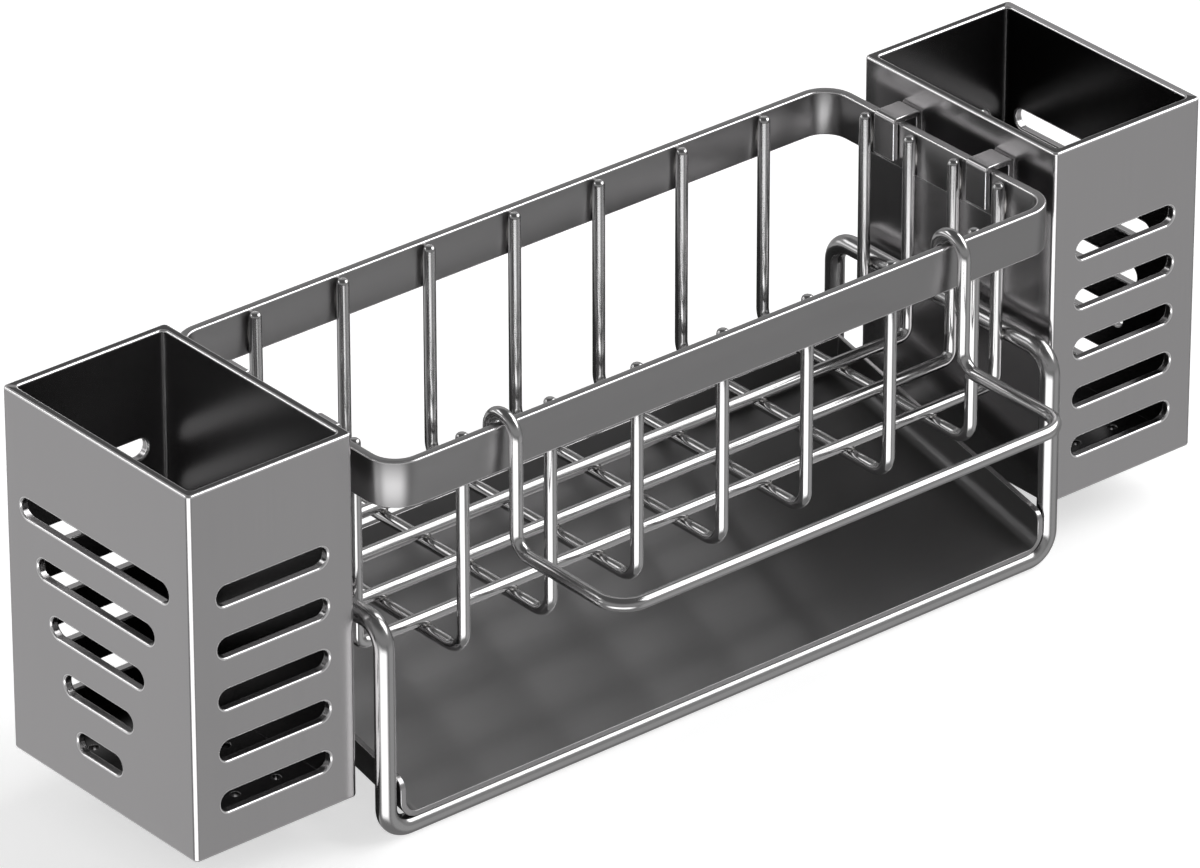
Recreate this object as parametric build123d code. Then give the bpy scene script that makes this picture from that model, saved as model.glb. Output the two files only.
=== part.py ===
from build123d import *
from math import cos, radians, sin, sqrt, tan
import os

os.makedirs("parts", exist_ok=True)

# Lengths are in millimetres. The caddy stands on z = 0 and the two ends mirror each other
# about x = 0. The origin is the middle of the whole footprint.

# rim: flat bar bent on edge into a closed loop
rim_length = 261.0
rim_depth = 107.0
rim_height = 15.0
rim_thickness = 3.0
rim_top = 126.0
rim_corner_radius = 11.0
rim_edge_radius = 0.5

# basket wires, welded inside the rim
basket_wire = 4.0
basket_floor_axis = 52.2
cross_wire_count = 7
cross_wire_pitch = 33.2
cross_wire_bend = 7.0
cross_wire_tip_drop = 0.6
long_wire_offsets = (-30.7, -10.2, 10.2, 30.7)
long_wire_bend = 3.5
long_wire_tip_drop = 0.8
tip_round_share = 0.7

# stand: one closed loop of thicker wire
stand_wire = 6.4
stand_depth = 100.0
stand_top_axis = 72.7
stand_low_bend = 8.0
stand_high_bend = 8.0

# drip tray: bent sheet with an upright rear wall, open at the front; its reach and set-in are
# measured from the axes of the stand's front rail and rear uprights
tray_sheet = 2.0
tray_side_gap = 0.5
tray_slope = 13.6
tray_wall = 12.9
tray_side_bend = 6.4
tray_tip_radius = 3.0
tray_front_reach = 2.4
tray_rear_set_in = 6.3
rest_wire_set_in = 5.0
rest_wire_bend = 6.0
rest_wire_run_past = 2.0

# boxes: sheet shells that hang on the rim ends
box_width = 60.0
box_depth = 88.0
box_bottom = 15.0
box_top = 136.5
box_sheet = 3.0
box_corner_radius = 1.6
box_inner_radius = 1.6
box_wall_gap = 6.0
slot_height = 6.6
slot_levels = (99.7, 82.6, 65.4, 48.3, 31.2)
side_slot_length = 40.5
end_slot_lengths = (70.2, 55.4, 44.2, 32.6, 21.2)
end_slot_set_back = 1.5
drain_hole = 3.0
drain_pitch_x = 15.3
drain_pitch_y = 24.0
drain_rows = 3

# hooks: bent sheet strips welded to the inner wall of each box
hook_sheet = 2.0
hook_width = 9.2
hook_front = -20.5
hook_rear = 21.9
hook_leg = 12.4
hook_pad = 11.0
hook_outer_bend = 1.6
hook_inner_bend = 0.4

# towel rail: one bent wire hooked over the front of the rim
towel_wire = 4.2
towel_half_span = 87.2
towel_bar_reach = 105.0
towel_bar_axis = 86.0
towel_corner_bend = 9.0
towel_leg_bend = 6.0
towel_hook_bend = 6.0
towel_hook_centre_drop = 3.4
towel_hook_leg = 12.0

# gaps between pieces that come apart, and how far a cutting tool runs past what it cuts
loose_gap = 0.3
overrun = 5.0

# values that follow from the ones above
rim_half_length = rim_length / 2
rim_half_depth = rim_depth / 2
wire_radius = basket_wire / 2
stand_radius = stand_wire / 2
towel_radius = towel_wire / 2
front_reach = towel_bar_reach + towel_radius
basket_y = (front_reach - rim_half_depth) / 2
cross_leg_y = rim_half_depth - rim_thickness - wire_radius
long_leg_x = rim_half_length - rim_thickness - wire_radius
long_floor_axis = basket_floor_axis + basket_wire
stand_half_length = long_leg_x + wire_radius + stand_radius
stand_half_depth = stand_depth / 2
tray_width = 2 * (stand_half_length - stand_radius - tray_side_gap)
tray_front = -stand_half_depth - tray_front_reach
tray_rear = stand_half_depth - tray_rear_set_in
slope = tan(radians(tray_slope))


def save(name, shape):
    export_step(shape, os.path.join("parts", name + ".step"))


# A path through the given corners, each inner corner a right angle rounded to its own radius.
def bent_path(points, radii):
    corners = [Vector(*p) for p in points]
    pieces = []
    start = corners[0]
    for corner, after, radius in zip(corners[1:-1], corners[2:], radii):
        into = (corner - start).normalized()
        away = (after - corner).normalized()
        bend_start = corner - into * radius
        bend_end = corner + away * radius
        bend_middle = corner + (away - into) * radius * (1 - 1 / sqrt(2))
        if (bend_start - start).length > radius * 1e-6:
            pieces.append(Line(start, bend_start))
        pieces.append(ThreePointArc(bend_start, bend_middle, bend_end))
        start = bend_end
    if (corners[-1] - start).length > radii[-1] * 1e-6:
        pieces.append(Line(start, corners[-1]))
    return Wire(pieces)


def bent_wire(points, radii, diameter):
    path = bent_path(points, radii)
    section = Plane(origin=path @ 0, z_dir=path % 0) * Circle(diameter / 2)
    return sweep(section, path=path)


def round_tips(wire, diameter):
    ends = wire.faces().filter_by(GeomType.PLANE)
    rims = [edge for face in ends for edge in face.edges()]
    return fillet(rims, diameter / 2 * tip_round_share)


# rim
rim_outline = RectangleRounded(rim_length, rim_depth, rim_corner_radius)
rim_opening = RectangleRounded(
    rim_length - 2 * rim_thickness, rim_depth - 2 * rim_thickness, rim_corner_radius - rim_thickness
)
rim = extrude(rim_outline - rim_opening, rim_height)
rim_edges = rim.edges().group_by(Axis.Z)
rim = fillet(rim_edges[0] + rim_edges[-1], rim_edge_radius)
save("rim", Pos(0, basket_y, rim_top - rim_height) * rim)

# cross wires, from the front of the rim under the floor to the back of the rim
cross_tip = rim_top - cross_wire_tip_drop
for index in range(cross_wire_count):
    x = (index - (cross_wire_count - 1) / 2) * cross_wire_pitch
    wire = bent_wire(
        [
            (x, basket_y - cross_leg_y, cross_tip),
            (x, basket_y - cross_leg_y, basket_floor_axis),
            (x, basket_y + cross_leg_y, basket_floor_axis),
            (x, basket_y + cross_leg_y, cross_tip),
        ],
        [cross_wire_bend] * 2,
        basket_wire,
    )
    save(f"cross_wire_{index + 1}", round_tips(wire, basket_wire))

# long wires, lying on the cross wires and turned up inside the rim ends
long_tip = rim_top - long_wire_tip_drop
for index, offset_y in enumerate(long_wire_offsets):
    y = basket_y + offset_y
    wire = bent_wire(
        [
            (-long_leg_x, y, long_tip),
            (-long_leg_x, y, long_floor_axis),
            (long_leg_x, y, long_floor_axis),
            (long_leg_x, y, long_tip),
        ],
        [long_wire_bend] * 2,
        basket_wire,
    )
    save(f"long_wire_{index + 1}", round_tips(wire, basket_wire))

# stand, made as one half and its mirror image
stand_half = bent_wire(
    [
        (0, basket_y - stand_half_depth, stand_radius),
        (stand_half_length, basket_y - stand_half_depth, stand_radius),
        (stand_half_length, basket_y - stand_half_depth, stand_top_axis),
        (stand_half_length, basket_y + stand_half_depth, stand_top_axis),
        (stand_half_length, basket_y + stand_half_depth, stand_radius),
        (0, basket_y + stand_half_depth, stand_radius),
    ],
    [stand_low_bend, stand_high_bend, stand_high_bend, stand_low_bend],
    stand_wire,
)
save("stand_frame", stand_half + mirror(stand_half, about=Plane.YZ))

# The tray's underside is a sloping plane held just clear of the front rail. This gives its
# height at any distance behind the basket's centre.
rail_contact = stand_radius + loose_gap
underside_y = -stand_half_depth - rail_contact * sin(radians(tray_slope))
underside_z = stand_radius + rail_contact * cos(radians(tray_slope))


def underside_at(y):
    return underside_z + (y - underside_y) * slope


# rest wire: from the inner sides of the rear uprights forward, and across just under the tray
rest_x = stand_half_length - stand_radius - wire_radius
rest_y = tray_rear - rest_wire_set_in
rest_z = underside_at(rest_y) - (wire_radius + loose_gap) / cos(radians(tray_slope))
rest_end = stand_half_depth + rest_wire_run_past
rest_wire = bent_wire(
    [
        (-rest_x, basket_y + rest_end, rest_z),
        (-rest_x, basket_y + rest_y, rest_z),
        (rest_x, basket_y + rest_y, rest_z),
        (rest_x, basket_y + rest_end, rest_z),
    ],
    [rest_wire_bend] * 2,
    basket_wire,
)
save("tray_rest_wire", round_tips(rest_wire, basket_wire))

# Drip tray, made level with its rear foot at y = 0 and then tipped. The block and the hollow
# run past both ends, and upright cuts end them: the hollow stops one sheet short of the rear.
tray_past = tray_wall + overrun
tray_run = (tray_rear - tray_front) / cos(radians(tray_slope)) + 2 * tray_past


def trough(width, height, side_bend):
    block = Box(width, tray_run, height, align=(Align.CENTER, Align.MAX, Align.MIN))
    return fillet(block.edges().filter_by(Axis.Y).group_by(Axis.Z)[0], side_bend)


tray_place = Pos(0, tray_rear, underside_at(tray_rear)) * Rot(tray_slope, 0, 0)
tray_block = tray_place * Pos(0, tray_past) * trough(tray_width, tray_wall, tray_side_bend)
tray_hollow = tray_place * Pos(0, tray_past, tray_sheet) * trough(
    tray_width - 2 * tray_sheet, tray_wall + overrun, tray_side_bend - tray_sheet
)
cutter = Box(tray_width + 2 * overrun, tray_run, 2 * tray_run)
front_cutter = Pos(0, tray_front - tray_run / 2) * cutter
rear_cutter = Pos(0, tray_rear + tray_run / 2) * cutter
tray = tray_block - front_cutter - rear_cutter - (tray_hollow - Pos(0, -tray_sheet) * rear_cutter)
front_face = tray.faces().sort_by(Axis.Y)[0]
wall_tips = front_face.edges().filter_by(Axis.X).group_by(Axis.Z)[-1]
tray = fillet(wall_tips, tray_tip_radius)
save("drip_tray", Pos(0, basket_y, 0) * tray)


# Boxes. Everything is made for the end at +x; the other end is its mirror image.
wall_x = rim_half_length + box_wall_gap
box_x = wall_x + box_width / 2
box_height = box_top - box_bottom
inner_width = box_width - 2 * box_sheet
inner_depth = box_depth - 2 * box_sheet

box_outline = RectangleRounded(box_width, box_depth, box_corner_radius)
box_inside = RectangleRounded(inner_width, inner_depth, box_inner_radius)
shell = Pos(box_x, basket_y, box_bottom) * extrude(box_outline - box_inside, box_height)
for level, end_slot_length in zip(slot_levels, end_slot_lengths):
    side_slot = extrude(
        Plane.XZ * SlotOverall(side_slot_length, slot_height), box_depth / 2 + overrun, both=True
    )
    end_slot = extrude(Plane.YZ * SlotOverall(end_slot_length, slot_height), box_width / 2 + overrun)
    shell -= Pos(box_x, basket_y, level) * side_slot
    shell -= Pos(box_x, basket_y + end_slot_set_back, level) * end_slot

drain_holes = GridLocations(drain_pitch_x, drain_pitch_y, drain_rows, drain_rows) * Circle(drain_hole / 2)
floor = Pos(box_x, basket_y, box_bottom) * extrude(box_inside - drain_holes, box_sheet)

# hook: leg inside the rim, tab across its top, pad on the box wall
leg_x = rim_half_length - rim_thickness - loose_gap - hook_sheet
hook_reach = wall_x - leg_x
hook_blank = Pos(0, -hook_leg) * Rectangle(
    hook_reach, hook_leg + hook_sheet, align=(Align.MIN, Align.MIN)
)
hook_hollow = Pos(hook_sheet, -hook_leg - overrun) * Rectangle(
    hook_reach - 2 * hook_sheet, hook_leg + overrun, align=(Align.MIN, Align.MIN)
)
pad_cut = Pos(hook_reach - hook_sheet, -hook_leg) * Rectangle(
    hook_sheet, hook_leg - hook_pad, align=(Align.MIN, Align.MIN)
)
hook_blank = fillet(hook_blank.vertices().group_by(Axis.Y)[-1], hook_outer_bend)
hook_hollow = fillet(hook_hollow.vertices().group_by(Axis.Y)[-1], hook_inner_bend)
hook_profile = hook_blank - hook_hollow - pad_cut
hook = extrude(Plane.XZ * hook_profile, hook_width / 2, both=True)

hooks = {
    "hook_front": Pos(leg_x, basket_y + hook_front, rim_top) * hook,
    "hook_rear": Pos(leg_x, basket_y + hook_rear, rim_top) * hook,
}
for part_name, shape in {"shell": shell, "floor": floor, **hooks}.items():
    save("right_box_" + part_name, shape)
    save("left_box_" + part_name, mirror(shape, about=Plane.YZ))

# towel rail, made as one half and its mirror image
band_y = rim_half_depth - rim_thickness / 2
outer_leg_y = band_y + towel_hook_bend
inner_leg_y = band_y - towel_hook_bend
hook_top = rim_top - towel_hook_centre_drop + towel_hook_bend
rail_half = bent_wire(
    [
        (0, basket_y - towel_bar_reach, towel_bar_axis),
        (towel_half_span, basket_y - towel_bar_reach, towel_bar_axis),
        (towel_half_span, basket_y - outer_leg_y, towel_bar_axis),
        (towel_half_span, basket_y - outer_leg_y, hook_top),
        (towel_half_span, basket_y - inner_leg_y, hook_top),
        (towel_half_span, basket_y - inner_leg_y, rim_top - towel_hook_leg),
    ],
    [towel_corner_bend, towel_leg_bend, towel_hook_bend, towel_hook_bend],
    towel_wire,
)
rail = rail_half + mirror(rail_half, about=Plane.YZ)
save("towel_rail", round_tips(rail, towel_wire))
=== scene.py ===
import bmesh
import bpy
from math import cos, pi, radians, sin, tan
from mathutils import Matrix, Vector


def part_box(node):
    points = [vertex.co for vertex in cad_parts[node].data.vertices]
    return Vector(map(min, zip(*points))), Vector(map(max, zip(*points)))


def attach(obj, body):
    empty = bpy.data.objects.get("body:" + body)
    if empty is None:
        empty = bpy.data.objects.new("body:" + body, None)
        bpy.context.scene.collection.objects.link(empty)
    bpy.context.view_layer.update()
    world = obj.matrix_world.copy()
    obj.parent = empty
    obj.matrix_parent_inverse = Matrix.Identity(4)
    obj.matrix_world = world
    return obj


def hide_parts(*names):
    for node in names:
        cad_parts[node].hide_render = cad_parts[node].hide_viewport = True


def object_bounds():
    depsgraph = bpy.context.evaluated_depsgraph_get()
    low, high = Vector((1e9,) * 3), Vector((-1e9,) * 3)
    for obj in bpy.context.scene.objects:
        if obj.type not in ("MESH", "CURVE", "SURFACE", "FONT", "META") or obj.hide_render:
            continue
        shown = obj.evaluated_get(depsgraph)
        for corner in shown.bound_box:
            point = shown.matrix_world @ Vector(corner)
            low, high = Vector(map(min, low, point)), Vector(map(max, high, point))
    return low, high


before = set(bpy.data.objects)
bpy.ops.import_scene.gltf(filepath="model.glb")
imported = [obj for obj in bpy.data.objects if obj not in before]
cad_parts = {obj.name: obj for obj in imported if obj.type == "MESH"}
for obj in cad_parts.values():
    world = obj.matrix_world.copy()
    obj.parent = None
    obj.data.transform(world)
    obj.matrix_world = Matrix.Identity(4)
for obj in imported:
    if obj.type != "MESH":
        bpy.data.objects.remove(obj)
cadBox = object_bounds()
scene = bpy.context.scene
print("frame loaded:", len(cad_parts), "nodes")


# nodes: short ways to add one to a tree and wire it up

def addNode(tree, kind, label="", **settings):
    node = tree.nodes.new(kind)
    node.label = label
    for key, value in settings.items():
        setattr(node, key, value)
    return node


def setInputs(node, **values):
    for key, value in values.items():
        node.inputs[key.replace("_", " ")].default_value = value
    return node


def doMath(tree, operation, first, second=None, third=None, clamp=False):
    node = addNode(tree, "ShaderNodeMath", operation=operation, use_clamp=clamp)
    for socket, value in zip(node.inputs, (first, second, third)):
        if isinstance(value, bpy.types.NodeSocket):
            tree.links.new(value, socket)
        elif value is not None:
            socket.default_value = value
    return node.outputs[0]


def newGroup(name, inputs, outputs):
    group = bpy.data.node_groups.new(name, "ShaderNodeTree")
    for label, (kind, value) in inputs.items():
        socket = group.interface.new_socket(name=label, in_out="INPUT", socket_type=kind)
        socket.default_value = value
    for label, kind in outputs.items():
        group.interface.new_socket(name=label, in_out="OUTPUT", socket_type=kind)
    return group, group.nodes.new("NodeGroupInput"), group.nodes.new("NodeGroupOutput")


# satin steel: fine grinding lines and soft clouds in the polish
satin = {"grainDetail": 3.0, "grainRoughness": 0.6, "cloudDetail": 2.0, "cloudRoughness": 0.5,
         "bumpStrength": 0.25}


def makeSatinGroup():
    group, given, out = newGroup(
        "satinFinish",
        {
            "Grain Size": ("NodeSocketFloat", 900.0),
            "Grain Stretch": ("NodeSocketVector", (1.0, 1.0, 0.02)),
            "Cloud Size": ("NodeSocketFloat", 22.0),
            "Tone Change": ("NodeSocketFloat", 0.05),
            "Base Tone": ("NodeSocketColor", (0.5, 0.5, 0.5, 1.0)),
            "Base Roughness": ("NodeSocketFloat", 0.2),
            "Roughness Change": ("NodeSocketFloat", 0.05),
        },
        {"Color": "NodeSocketColor", "Roughness": "NodeSocketFloat", "Height": "NodeSocketFloat"},
    )
    links = group.links
    where = addNode(group, "ShaderNodeTexCoord")
    stretch = addNode(group, "ShaderNodeVectorMath", "grinding direction", operation="MULTIPLY")
    links.new(where.outputs["Object"], stretch.inputs[0])
    links.new(given.outputs["Grain Stretch"], stretch.inputs[1])
    grain = setInputs(
        addNode(group, "ShaderNodeTexNoise", "grain"),
        Detail=satin["grainDetail"], Roughness=satin["grainRoughness"],
    )
    links.new(stretch.outputs[0], grain.inputs["Vector"])
    links.new(given.outputs["Grain Size"], grain.inputs["Scale"])
    cloud = setInputs(
        addNode(group, "ShaderNodeTexNoise", "clouds"),
        Detail=satin["cloudDetail"], Roughness=satin["cloudRoughness"],
    )
    links.new(where.outputs["Object"], cloud.inputs["Vector"])
    links.new(given.outputs["Cloud Size"], cloud.inputs["Scale"])

    both = doMath(group, "ADD", grain.outputs["Fac"], cloud.outputs["Fac"])
    swing = doMath(group, "SUBTRACT", both, 1.0)  # each noise is 0.5 on average
    toneSwing = doMath(group, "MULTIPLY_ADD", swing, given.outputs["Tone Change"], 1.0)
    tone = addNode(group, "ShaderNodeVectorMath", operation="SCALE")
    links.new(given.outputs["Base Tone"], tone.inputs[0])
    links.new(toneSwing, tone.inputs["Scale"])
    rough = doMath(
        group, "MULTIPLY_ADD", swing,
        given.outputs["Roughness Change"], given.outputs["Base Roughness"],
    )
    links.new(tone.outputs[0], out.inputs["Color"])
    links.new(rough, out.inputs["Roughness"])
    links.new(grain.outputs["Fac"], out.inputs["Height"])
    return group


satinGroup = makeSatinGroup()


def makeSteel(name, tone, roughness, grainStretch, grainSize=900.0, toneChange=0.05,
              roughnessChange=0.05, cloudSize=22.0, grainDepth=0.00001):
    material = bpy.data.materials.new(name)
    material.use_nodes = True
    tree = material.node_tree
    shader = tree.nodes["Principled BSDF"]
    shader.inputs["Metallic"].default_value = 1.0
    finish = addNode(tree, "ShaderNodeGroup", node_tree=satinGroup)
    setInputs(
        finish,
        Grain_Size=grainSize, Grain_Stretch=grainStretch, Cloud_Size=cloudSize,
        Tone_Change=toneChange, Base_Tone=(*tone, 1.0),
        Base_Roughness=roughness, Roughness_Change=roughnessChange,
    )
    bump = setInputs(
        addNode(tree, "ShaderNodeBump"), Strength=satin["bumpStrength"], Distance=grainDepth
    )
    tree.links.new(finish.outputs["Color"], shader.inputs["Base Color"])
    tree.links.new(finish.outputs["Roughness"], shader.inputs["Roughness"])
    tree.links.new(finish.outputs["Height"], bump.inputs["Height"])
    tree.links.new(bump.outputs["Normal"], shader.inputs["Normal"])
    return material


# steels: a tone, a polish and the run of the grain for each kind of piece
steels = {
    "box": dict(tone=(0.50, 0.49, 0.495), roughness=0.22, grainStretch=(1.0, 1.0, 0.03)),
    # the boxes' inner faces take a much darker tone: painted shade inside the boxes
    "boxInner": dict(tone=(0.115, 0.113, 0.114), roughness=0.24, grainStretch=(1.0, 1.0, 0.03)),
    "bar": dict(tone=(0.35, 0.345, 0.348), roughness=0.31, grainStretch=(0.03, 0.03, 1.0),
                toneChange=0.03, roughnessChange=0.03),
    "wire": dict(tone=(0.55, 0.545, 0.547), roughness=0.15, grainStretch=(0.1, 0.1, 0.1),
                 grainDepth=0.0),
    "stand": dict(tone=(0.50, 0.495, 0.497), roughness=0.20, grainStretch=(0.1, 0.1, 0.1),
                  grainDepth=0.0),
    # the tray's sheet is darker than its cut edges: painted shade under the basket
    "tray": dict(tone=(0.27, 0.267, 0.269), roughness=0.33, grainStretch=(0.02, 1.0, 1.0)),
    "trayEdge": dict(tone=(0.50, 0.49, 0.495), roughness=0.22, grainStretch=(1.0, 1.0, 1.0)),
    "weld": dict(tone=(0.38, 0.37, 0.362), roughness=0.30, grainStretch=(1.0, 1.0, 1.0),
                 grainDepth=0.00005),
    # a near-white steel for bevelled and rounded edges: a painted highlight along the box, hook and
    # rim edges
    "edge": dict(tone=(0.93, 0.92, 0.925), roughness=0.25, grainStretch=(1.0, 1.0, 1.0),
                 toneChange=0.0),
}
boxSteel = makeSteel("boxSatinSteel", **steels["box"])
boxInnerPaintedShadeSteel = makeSteel("boxInnerPaintedShadeSteel", **steels["boxInner"])
barSteel = makeSteel("rimSatinSteel", **steels["bar"])
wireSteel = makeSteel("wirePolishedSteel", **steels["wire"])
standSteel = makeSteel("standSatinSteel", **steels["stand"])
trayShadedSteel = makeSteel("trayPaintedShadeSteel", **steels["tray"])
trayEdgeSteel = makeSteel("trayCutEdgeSteel", **steels["trayEdge"])
weldSteel = makeSteel("weldSteel", **steels["weld"])
edgeHighlightSteel = makeSteel("polishedEdgeHighlightSteel", **steels["edge"])
print("steels mixed")


# pieces: smooth faces with sharp lines between them, and cut edges softened by a small bevel
shading = {"sharpAngle": 40.0, "bevelSegments": 2, "bevelAngle": 35.0}


def addPiece(name, bm, body, materials, nodes):
    bmesh.ops.recalc_face_normals(bm, faces=bm.faces)
    for face in bm.faces:
        face.smooth = True
    mesh = bpy.data.meshes.new(name)
    bm.to_mesh(mesh)
    bm.free()
    mesh.set_sharp_from_angle(angle=radians(shading["sharpAngle"]))
    for material in materials:
        mesh.materials.append(material)
    piece = bpy.data.objects.new(name, mesh)
    scene.collection.objects.link(piece)
    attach(piece, body)
    if nodes:
        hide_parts(*nodes)
    return piece


def softenEdges(piece, width, material=-1):
    soften = piece.modifiers.new("softEdges", "BEVEL")
    soften.width = width
    soften.segments = shading["bevelSegments"]
    soften.material = material
    soften.limit_method = "ANGLE"
    soften.angle_limit = radians(shading["bevelAngle"])
    soften.harden_normals = True
    soften.use_clamp_overlap = False
    soften.loop_slide = False


def standAt(point, direction):
    return Matrix.Translation(point) @ direction.to_track_quat("Z", "Y").to_matrix().to_4x4()


# wires and bars: a section standing at the first point is pushed along each straight run and
# spun round each right-angle bend
wires = {"sides": 32, "bendSteps": 14, "tipShare": 0.7, "tipSteps": 5, "mergeShare": 1e-3}


def roundSection(bm, points, diameter, sides):
    place = standAt(points[0], points[1] - points[0])
    bmesh.ops.create_circle(bm, segments=sides, radius=diameter / 2, matrix=place)
    return [edge for edge in bm.edges if edge.is_wire]


def flatSection(bm, points, across, along, corner, cornerSteps):
    place = standAt(points[0], points[1] - points[0]) @ Matrix.Diagonal((across, along, 1, 1))
    bmesh.ops.create_grid(bm, x_segments=1, y_segments=1, size=0.5, matrix=place)
    bmesh.ops.bevel(bm, geom=bm.verts[:], offset=corner, segments=cornerSteps, profile=0.5,
                    affect="VERTICES", material=-1)
    bmesh.ops.delete(bm, geom=bm.faces[:], context="FACES_ONLY")
    return [edge for edge in bm.edges if edge.is_wire]


def pushSection(bm, section, move):
    made = bmesh.ops.extrude_edge_only(bm, edges=section)["geom"]
    bmesh.ops.translate(bm, vec=move, verts=[v for v in made if isinstance(v, bmesh.types.BMVert)])
    return [e for e in made if isinstance(e, bmesh.types.BMEdge) and e.is_boundary]


def bendSection(bm, section, centre, axis, steps):
    verts = list({v: None for edge in section for v in edge.verts})
    made = bmesh.ops.spin(
        bm, geom=verts + section, cent=centre, axis=axis, angle=pi / 2, steps=steps
    )
    return [e for e in made["geom_last"] if isinstance(e, bmesh.types.BMEdge)]


def followPath(bm, section, points, bends, steps=wires["bendSteps"]):
    here = points[0]
    for corner, after, bend in zip(points[1:-1], points[2:], bends):
        into = (corner - here).normalized()
        away = (after - corner).normalized()
        bendStart = corner - into * bend
        if (bendStart - here).length > bend * wires["mergeShare"]:
            section = pushSection(bm, section, bendStart - here)
        section = bendSection(bm, section, bendStart + away * bend, into.cross(away), steps)
        here = corner + away * bend
    return pushSection(bm, section, points[-1] - here)


def closeTips(bm, diameter):
    ends = [edge for edge in bm.edges if edge.is_boundary]
    caps = bmesh.ops.holes_fill(bm, edges=ends)["faces"]
    rims = [edge for cap in caps for edge in cap.edges]
    bmesh.ops.bevel(bm, geom=rims, offset=diameter / 2 * wires["tipShare"],
                    segments=wires["tipSteps"], profile=0.5, affect="EDGES", material=-1)


def bendWire(name, points, bends, diameter, body, nodes, steel=wireSteel, closed=False,
             sides=wires["sides"]):
    bm = bmesh.new()
    section = roundSection(bm, points, diameter, sides)
    followPath(bm, section, points, bends)
    if closed:
        bmesh.ops.remove_doubles(bm, verts=bm.verts, dist=diameter * wires["mergeShare"])
    else:
        closeTips(bm, diameter)
    return addPiece(name, bm, body, [steel], nodes)


# rim: flat bar bent to a closed band, with its edges rounded and given a near-white steel as a
# painted highlight
rim = {"thickness": 0.003, "cornerRadius": 0.011, "cornerSteps": 20, "edgeRadius": 0.0005,
       "edgeSteps": 3, "highlightSlant": (0.1, 0.99)}


def makeRim():
    low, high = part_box("rim")
    half = rim["thickness"] / 2
    z = (low.z + high.z) / 2
    left, right, front, back = low.x + half, high.x - half, low.y + half, high.y - half
    middle = (left + right) / 2
    points = [Vector(p) for p in (
        (middle, front, z), (right, front, z), (right, back, z),
        (left, back, z), (left, front, z), (middle, front, z),
    )]
    bm = bmesh.new()
    section = flatSection(
        bm, points, rim["thickness"], high.z - low.z, rim["edgeRadius"], rim["edgeSteps"]
    )
    followPath(bm, section, points, [rim["cornerRadius"] - half] * 4, steps=rim["cornerSteps"])
    bmesh.ops.remove_doubles(bm, verts=bm.verts, dist=half * wires["mergeShare"])
    bm.normal_update()
    leastSlant, mostSlant = rim["highlightSlant"]
    # the rounded edges of the bar take the near-white steel as a painted highlight
    for face in bm.faces:
        face.material_index = int(leastSlant < abs(face.normal.z) < mostSlant)
    addPiece("rim_band", bm, "base", [barSteel, edgeHighlightSteel], ["rim"])


makeRim()
print("rim made")


# basket wires
crossWire = {"bend": 0.007}
longWire = {"bend": 0.0035}


def makeCrossWire(node):
    low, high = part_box(node)
    diameter = high.x - low.x
    r = diameter / 2
    x = (low.x + high.x) / 2
    front, back, bottom = low.y + r, high.y - r, low.z + r
    points = [Vector(p) for p in (
        (x, front, high.z), (x, front, bottom), (x, back, bottom), (x, back, high.z),
    )]
    bendWire(node + "_rod", points, [crossWire["bend"]] * 2, diameter, "base", [node])


def makeLongWire(node):
    low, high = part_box(node)
    diameter = high.y - low.y
    r = diameter / 2
    y = (low.y + high.y) / 2
    left, right, bottom = low.x + r, high.x - r, low.z + r
    points = [Vector(p) for p in (
        (left, y, high.z), (left, y, bottom), (right, y, bottom), (right, y, high.z),
    )]
    bendWire(node + "_rod", points, [longWire["bend"]] * 2, diameter, "base", [node])


crossNodes = sorted(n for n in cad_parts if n.startswith("cross_wire"))
longNodes = sorted(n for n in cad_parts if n.startswith("long_wire"))
for node in crossNodes:
    makeCrossWire(node)
for node in longNodes:
    makeLongWire(node)
print("basket wires made")


# stand and the wire that holds up the tray's rear
stand = {"wire": 0.0064, "lowBend": 0.008, "highBend": 0.008, "sides": 40}
restWire = {"bend": 0.006}


def makeStand():
    low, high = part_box("stand_frame")
    r = stand["wire"] / 2
    left, right, front, back = low.x + r, high.x - r, low.y + r, high.y - r
    bottom, top = low.z + r, high.z - r
    middle = (left + right) / 2
    points = [Vector(p) for p in (
        (middle, front, bottom), (right, front, bottom), (right, front, top), (right, back, top),
        (right, back, bottom), (left, back, bottom), (left, back, top), (left, front, top),
        (left, front, bottom), (middle, front, bottom),
    )]
    lowBend, highBend = stand["lowBend"], stand["highBend"]
    bends = [lowBend, highBend, highBend, lowBend] * 2
    bendWire("stand_wire_frame", points, bends, stand["wire"], "base", ["stand_frame"],
             steel=standSteel, closed=True, sides=stand["sides"])


def makeRestWire():
    low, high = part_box("tray_rest_wire")
    diameter = high.z - low.z
    r = diameter / 2
    left, right, front, z = low.x + r, high.x - r, low.y + r, low.z + r
    points = [Vector(p) for p in (
        (left, high.y, z), (left, front, z), (right, front, z), (right, high.y, z),
    )]
    bendWire("tray_rest_rod", points, [restWire["bend"]] * 2, diameter, "base", ["tray_rest_wire"])


makeStand()
makeRestWire()
print("stand made")


# towel rail
towel = {"wire": 0.0042, "cornerBend": 0.009, "legBend": 0.006, "hookBend": 0.006,
         "innerLegDrop": 0.012}


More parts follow.
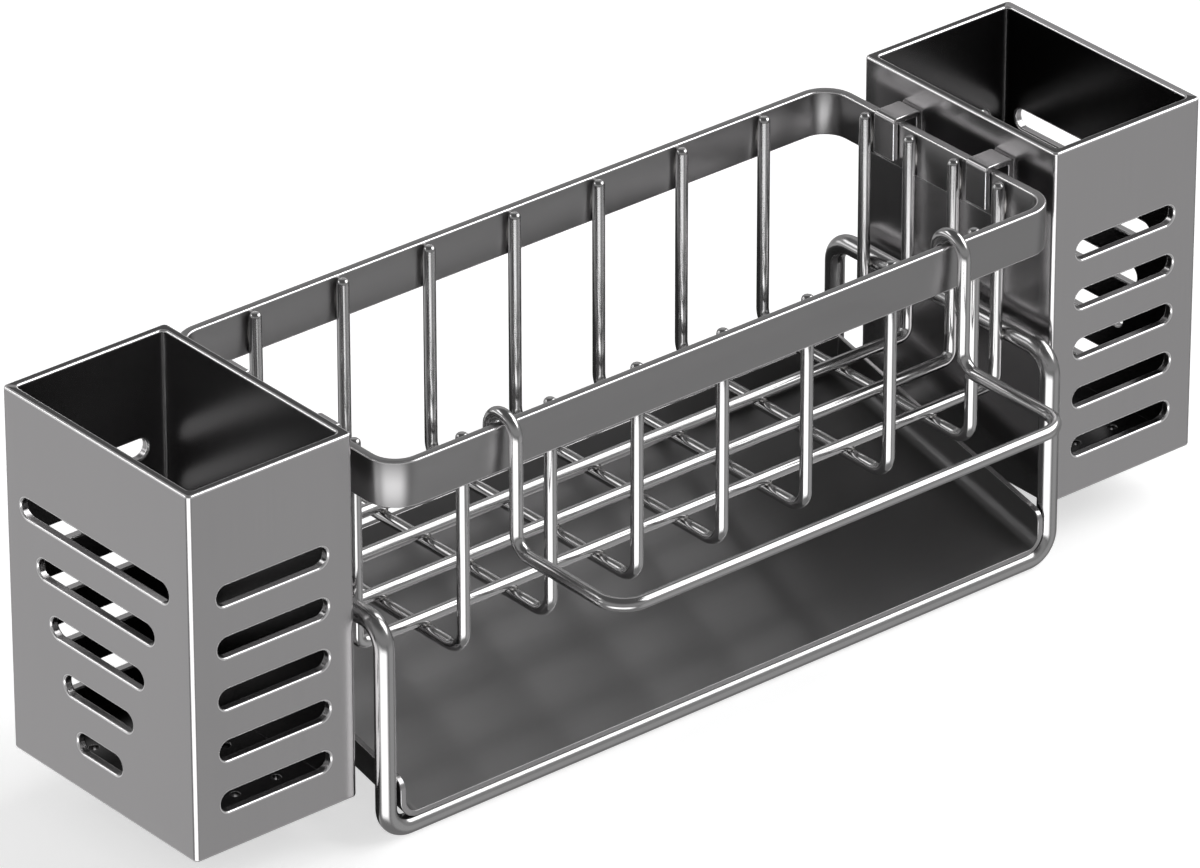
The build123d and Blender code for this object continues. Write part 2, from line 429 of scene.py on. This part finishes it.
def makeTowelRail():
    low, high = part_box("towel_rail")
    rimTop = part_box("rim")[1].z
    r = towel["wire"] / 2
    left, right, bar, barZ, top = low.x + r, high.x - r, low.y + r, low.z + r, high.z - r
    inner = high.y - r
    outer = inner - 2 * towel["hookBend"]
    tip = rimTop - towel["innerLegDrop"]
    points = [Vector(p) for p in (
        (left, inner, tip), (left, inner, top), (left, outer, top), (left, outer, barZ),
        (left, bar, barZ), (right, bar, barZ), (right, outer, barZ), (right, outer, top),
        (right, inner, top), (right, inner, tip),
    )]
    oneEnd = [towel["hookBend"], towel["hookBend"], towel["legBend"], towel["cornerBend"]]
    bendWire("towel_bar", points, oneEnd + oneEnd[::-1], towel["wire"], "towel_rail",
             ["towel_rail"])


makeTowelRail()
print("towel rail made")


# weld beads where wires cross, stand against the rim or meet the stand
bead = {"crossing": (0.0017, 0.0017, 0.0011), "across": 0.0016, "into": 0.0008, "up": 0.0055,
        "short": 0.0017, "subdivisions": 2}


def addBead(bm, place, size):
    matrix = Matrix.Translation(place) @ Matrix.Diagonal((*size, 1))
    bmesh.ops.create_icosphere(bm, subdivisions=bead["subdivisions"], radius=1, matrix=matrix)


def makeBeads():
    bm = bmesh.new()
    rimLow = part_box("rim")[0].z
    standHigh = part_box("stand_frame")[1]
    barZ = standHigh.z - stand["wire"] / 2
    crossBoxes = [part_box(node) for node in crossNodes]
    longBoxes = [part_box(node) for node in longNodes]
    for low, high in crossBoxes:
        x = (low.x + high.x) / 2
        for y in (low.y, high.y):
            addBead(bm, (x, y, (rimLow + high.z) / 2), (bead["across"], bead["into"], bead["up"]))
    for low, high in longBoxes:
        y = (low.y + high.y) / 2
        for x in (low.x, high.x):
            addBead(bm, (x, y, (rimLow + high.z) / 2), (bead["into"], bead["across"], bead["up"]))
            addBead(bm, (x, y, barZ), (bead["into"], bead["short"], bead["short"]))
        for crossLow, crossHigh in crossBoxes:
            addBead(bm, ((crossLow.x + crossHigh.x) / 2, y, low.z), bead["crossing"])
    restLow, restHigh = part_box("tray_rest_wire")
    for x in (restLow.x, restHigh.x):
        place = (x, standHigh.y - stand["wire"] / 2, (restLow.z + restHigh.z) / 2)
        addBead(bm, place, (bead["into"], bead["short"], bead["short"]))
    addPiece("weld_beads", bm, "base", [weldSteel], [])


makeBeads()
print("weld beads laid")


# drip tray: a level trough with upright ends, then each point is raised to the slope of the floor
tray = {"sheet": 0.002, "slope": 13.6, "wall": 0.0129, "sideBend": 0.0064, "sideBendSteps": 12,
        "tipRadius": 0.003, "tipSteps": 6, "edge": 0.0003, "slack": 1e-5, "facing": 0.5}


def makeTray():
    low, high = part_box("drip_tray")
    slope = radians(tray["slope"])
    height = tray["wall"] / cos(slope)
    bm = bmesh.new()
    size = Matrix.Diagonal((high.x - low.x, high.y - low.y, height, 1))
    place = Matrix.Translation(((low.x + high.x) / 2, (low.y + high.y) / 2, low.z + height / 2))
    bmesh.ops.create_cube(bm, size=1, matrix=place @ size)
    upward, forward = Vector((0, 0, 1)), Vector((0, -1, 0))
    openSides = [f for f in bm.faces if max(f.normal @ upward, f.normal @ forward) > tray["facing"]]
    bmesh.ops.delete(bm, geom=openSides, context="FACES")
    foot = [e for e in bm.edges
            if e.verts[0].co.y != e.verts[1].co.y and e.verts[0].co.z < low.z + height / 2]
    bmesh.ops.bevel(bm, geom=foot, offset=tray["sideBend"], segments=tray["sideBendSteps"],
                    profile=0.5, affect="EDGES", material=-1)
    for vert in bm.verts:
        vert.co.z += (vert.co.y - low.y) * tan(slope)
    frontTop = low.z + height
    tips = [v for v in bm.verts
            if v.co.y < (low.y + high.y) / 2 and v.co.z > frontTop - tray["slack"]]
    bmesh.ops.bevel(bm, geom=tips, offset=tray["tipRadius"], segments=tray["tipSteps"],
                    profile=0.5, affect="VERTICES", material=-1)
    piece = addPiece("tray_trough", bm, "drip_tray", [trayShadedSteel, trayEdgeSteel],
                     ["drip_tray"])
    wall = piece.modifiers.new("sheet", "SOLIDIFY")
    wall.thickness = tray["sheet"]
    wall.offset = -1
    wall.use_even_offset = True
    wall.material_offset_rim = 1
    softenEdges(piece, tray["edge"])


makeTray()
print("tray made")


# boxes and their hooks: a merged copy of each sheet piece with its edges softened and given a
# near-white steel as a painted highlight; the boxes' inner faces and base plates get a dark steel
# as painted shade
boxes = {"sheet": 0.003, "innerShare": 0.75, "edge": 0.0007, "floorEdge": 0.0002,
         "hookEdge": 0.0004, "mergeDistance": 1e-6, "flatAngle": 0.5}


def dressSheet(node, name, body, edge, materials, innerDepth=None):
    low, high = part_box(node)
    bm = bmesh.new()
    bm.from_mesh(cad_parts[node].data)
    bmesh.ops.remove_doubles(bm, verts=bm.verts, dist=boxes["mergeDistance"])
    bmesh.ops.dissolve_limit(
        bm, verts=bm.verts, edges=bm.edges, angle_limit=radians(boxes["flatAngle"])
    )
    # faces deeper than innerDepth inside a box get the second, dark steel: painted shade on the
    # inner walls
    for face in bm.faces:
        middle = face.calc_center_median()
        depth = min(middle.x - low.x, high.x - middle.x, middle.y - low.y, high.y - middle.y)
        face.material_index = 1 if innerDepth and depth > innerDepth else 0
    piece = addPiece(name, bm, body, materials + [edgeHighlightSteel], [node])
    # the bevel faces take the near-white steel as a painted highlight
    softenEdges(piece, edge, material=len(materials))


for side in ("left", "right"):
    body = side + "_box"
    dressSheet(body + "_shell", body + "_walls", body, boxes["edge"], [boxSteel, boxInnerPaintedShadeSteel],
               innerDepth=boxes["sheet"] * boxes["innerShare"])
    # the base plates sit inside the boxes and take the dark steel as painted shade
    dressSheet(body + "_floor", body + "_base_plate", body, boxes["floorEdge"], [boxInnerPaintedShadeSteel])
    for end in ("front", "rear"):
        dressSheet(f"{body}_hook_{end}", f"{body}_{end}_hook_strip", body, boxes["hookEdge"],
                   [boxSteel])
print("boxes made")


# floor
floor = {"halfWidth": 8.0, "tiles": 8, "tone": (0.86, 0.86, 0.86), "roughness": 0.9, "glow": 0.6}


def makeFloor():
    bm = bmesh.new()
    bmesh.ops.create_grid(
        bm, x_segments=floor["tiles"], y_segments=floor["tiles"], size=floor["halfWidth"]
    )
    mesh = bpy.data.meshes.new("paleFloor")
    bm.to_mesh(mesh)
    bm.free()
    ground = bpy.data.objects.new("paleFloor", mesh)
    scene.collection.objects.link(ground)
    material = bpy.data.materials.new("paleFloor")
    material.use_nodes = True
    setInputs(
        material.node_tree.nodes["Principled BSDF"],
        Base_Color=(*floor["tone"], 1.0), Roughness=floor["roughness"],
        Emission_Color=(1.0, 1.0, 1.0, 1.0), Emission_Strength=floor["glow"],
    )
    mesh.materials.append(material)
    ground.visible_glossy = False
    ground.visible_shadow = False


# a black card under and behind the caddy that only the steel sees: a painted shadow of the caddy on
# the floor, shown in its reflections;
# left, right and front are its reach past the caddy's box, and a negative one stays inside it
shadowCard = {"left": -0.006, "right": 0.02, "front": -0.066, "behindHalf": 0.136, "behindReach": 0.25,
        "drop": 0.002, "tone": 0.01}


def makeShadowCard():
    low, high = cadBox
    bm = bmesh.new()
    for left, right, front, back in (
        (low.x - shadowCard["left"], high.x + shadowCard["right"], low.y - shadowCard["front"], high.y),
        (-shadowCard["behindHalf"], shadowCard["behindHalf"], high.y, high.y + shadowCard["behindReach"]),
    ):
        place = Matrix.Translation(((left + right) / 2, (front + back) / 2, -shadowCard["drop"]))
        size = Matrix.Diagonal((right - left, back - front, 1, 1))
        bmesh.ops.create_grid(bm, x_segments=1, y_segments=1, size=0.5, matrix=place @ size)
    mesh = bpy.data.meshes.new("reflectedShadowCard")
    bm.to_mesh(mesh)
    bm.free()
    shadowSheet = bpy.data.objects.new("reflectedShadowCard", mesh)
    scene.collection.objects.link(shadowSheet)
    material = bpy.data.materials.new("reflectedShadowCard")
    material.use_nodes = True
    setInputs(
        material.node_tree.nodes["Principled BSDF"],
        Base_Color=(shadowCard["tone"], shadowCard["tone"], shadowCard["tone"], 1.0), Roughness=1.0,
    )
    mesh.materials.append(material)
    shadowSheet.visible_camera = False
    shadowSheet.visible_diffuse = False
    shadowSheet.visible_shadow = False


makeFloor()
makeShadowCard()
print("floor laid")


# studio: a soft sky with light panels painted into it, by direction in degrees
studio = {
    "backdrop": (1.0, 1.0, 1.0), "belowHorizon": 0.26, "atHorizon": 0.36, "overhead": 0.12,
    "skyFrom": 20, "skyTo": 55,
    "panels": {
        "highRight": dict(azimuth=-17, elevation=41, width=76, height=38, soften=4, strength=3.2),
        "highLeft": dict(azimuth=126, elevation=35, width=44, height=16, soften=5, strength=2.2),
        "topFaces": dict(azimuth=52, elevation=29, width=44, height=28, soften=10, strength=0.16),
        "frontFaces": dict(azimuth=-50, elevation=-28, width=70, height=60, soften=14,
                           strength=0.22),
        "leftFaces": dict(azimuth=125, elevation=-28, width=56, height=60, soften=12,
                          strength=0.32),
        "rearFaces": dict(azimuth=84, elevation=-28, width=40, height=60, soften=10, strength=0.2),
        "lowFrontLeft": dict(azimuth=-138, elevation=-30, width=96, height=38, soften=24,
                             strength=3.8),
        "horizonLeft": dict(azimuth=136, elevation=9, width=60, height=14, soften=4, strength=1.2),
    },
}


def makePanelGroup():
    group, given, out = newGroup(
        "lightPanel",
        {
            "Direction": ("NodeSocketVector", (0.0, 0.0, 0.0)),
            "Azimuth": ("NodeSocketFloat", 0.0),
            "Elevation": ("NodeSocketFloat", 0.0),
            "Width": ("NodeSocketFloat", 1.0),
            "Height": ("NodeSocketFloat", 1.0),
            "Soften": ("NodeSocketFloat", 0.1),
            "Strength": ("NodeSocketFloat", 1.0),
        },
        {"Light": "NodeSocketFloat"},
    )
    turn = addNode(group, "ShaderNodeVectorRotate", rotation_type="Z_AXIS")
    group.links.new(given.outputs["Direction"], turn.inputs["Vector"])
    group.links.new(doMath(group, "MULTIPLY", given.outputs["Azimuth"], -1.0), turn.inputs["Angle"])
    part = addNode(group, "ShaderNodeSeparateXYZ")
    group.links.new(turn.outputs[0], part.inputs[0])
    heading = doMath(group, "ARCTAN2", part.outputs["Y"], part.outputs["X"])
    aside = doMath(group, "ABSOLUTE", heading)
    rise = doMath(group, "ARCSINE", part.outputs["Z"])
    above = doMath(group, "ABSOLUTE", doMath(group, "SUBTRACT", rise, given.outputs["Elevation"]))
    masks = []
    for away, span in ((aside, "Width"), (above, "Height")):
        reach = doMath(group, "MULTIPLY", given.outputs[span], 0.5)
        inside = doMath(group, "SUBTRACT", reach, away)
        masks.append(doMath(group, "DIVIDE", inside, given.outputs["Soften"], clamp=True))
    panel = doMath(group, "MULTIPLY", *masks)
    light = doMath(group, "MULTIPLY", panel, given.outputs["Strength"])
    group.links.new(light, out.inputs["Light"])
    return group


def makeStudio():
    world = bpy.data.worlds.new("studio")
    scene.world = world
    world.use_nodes = True
    tree = world.node_tree
    tree.nodes.clear()
    direction = addNode(tree, "ShaderNodeTexCoord").outputs["Generated"]
    part = addNode(tree, "ShaderNodeSeparateXYZ")
    tree.links.new(direction, part.inputs[0])
    rise = doMath(tree, "ARCSINE", part.outputs["Z"])
    sky = addNode(tree, "ShaderNodeMapRange", "sky", interpolation_type="SMOOTHSTEP")
    tree.links.new(rise, sky.inputs["Value"])
    setInputs(
        sky, From_Min=radians(studio["skyFrom"]), From_Max=radians(studio["skyTo"]),
        To_Min=studio["atHorizon"], To_Max=studio["overhead"],
    )
    isUp = doMath(tree, "GREATER_THAN", rise, 0.0)
    fall = doMath(tree, "SUBTRACT", sky.outputs[0], studio["belowHorizon"])
    light = doMath(tree, "MULTIPLY_ADD", isUp, fall, studio["belowHorizon"])
    panelGroup = makePanelGroup()
    for name, panel in studio["panels"].items():
        node = addNode(tree, "ShaderNodeGroup", name, node_tree=panelGroup)
        setInputs(node, Strength=panel["strength"])
        for key in ("azimuth", "elevation", "width", "height", "soften"):
            node.inputs[key.capitalize()].default_value = radians(panel[key])
        tree.links.new(direction, node.inputs["Direction"])
        light = doMath(tree, "ADD", light, node.outputs["Light"])
    glow = addNode(tree, "ShaderNodeBackground", "seen by the steel")
    tree.links.new(light, glow.inputs["Color"])
    backdrop = addNode(tree, "ShaderNodeBackground", "seen by the camera")
    setInputs(backdrop, Color=(*studio["backdrop"], 1.0))
    rays = addNode(tree, "ShaderNodeLightPath")
    mix = addNode(tree, "ShaderNodeMixShader")
    tree.links.new(rays.outputs["Is Camera Ray"], mix.inputs[0])
    tree.links.new(glow.outputs[0], mix.inputs[1])
    tree.links.new(backdrop.outputs[0], mix.inputs[2])
    output = addNode(tree, "ShaderNodeOutputWorld")
    tree.links.new(mix.outputs[0], output.inputs[0])


makeStudio()
scene.view_settings.view_transform = "Standard"
print("studio lit")


# camera
camera = {"azimuth": -40.02, "elevation": 28.76, "distance": 2.9947, "lens": 297.7,
          "target": (0.0005, 0.0268, 0.0674), "shift": (-0.0157, 0.0048), "farEnd": 40}


def makeCamera():
    data = bpy.data.cameras.new("photoCamera")
    data.lens = camera["lens"]
    data.shift_x, data.shift_y = camera["shift"]
    data.clip_end = camera["farEnd"]
    seen = bpy.data.objects.new("photoCamera", data)
    scene.collection.objects.link(seen)
    a, e = radians(camera["azimuth"]), radians(camera["elevation"])
    back = Vector((sin(a) * cos(e), -cos(a) * cos(e), sin(e)))
    seen.location = Vector(camera["target"]) + back * camera["distance"]
    seen.rotation_euler = (-back).to_track_quat("-Z", "Y").to_euler()
    scene.camera = seen


makeCamera()
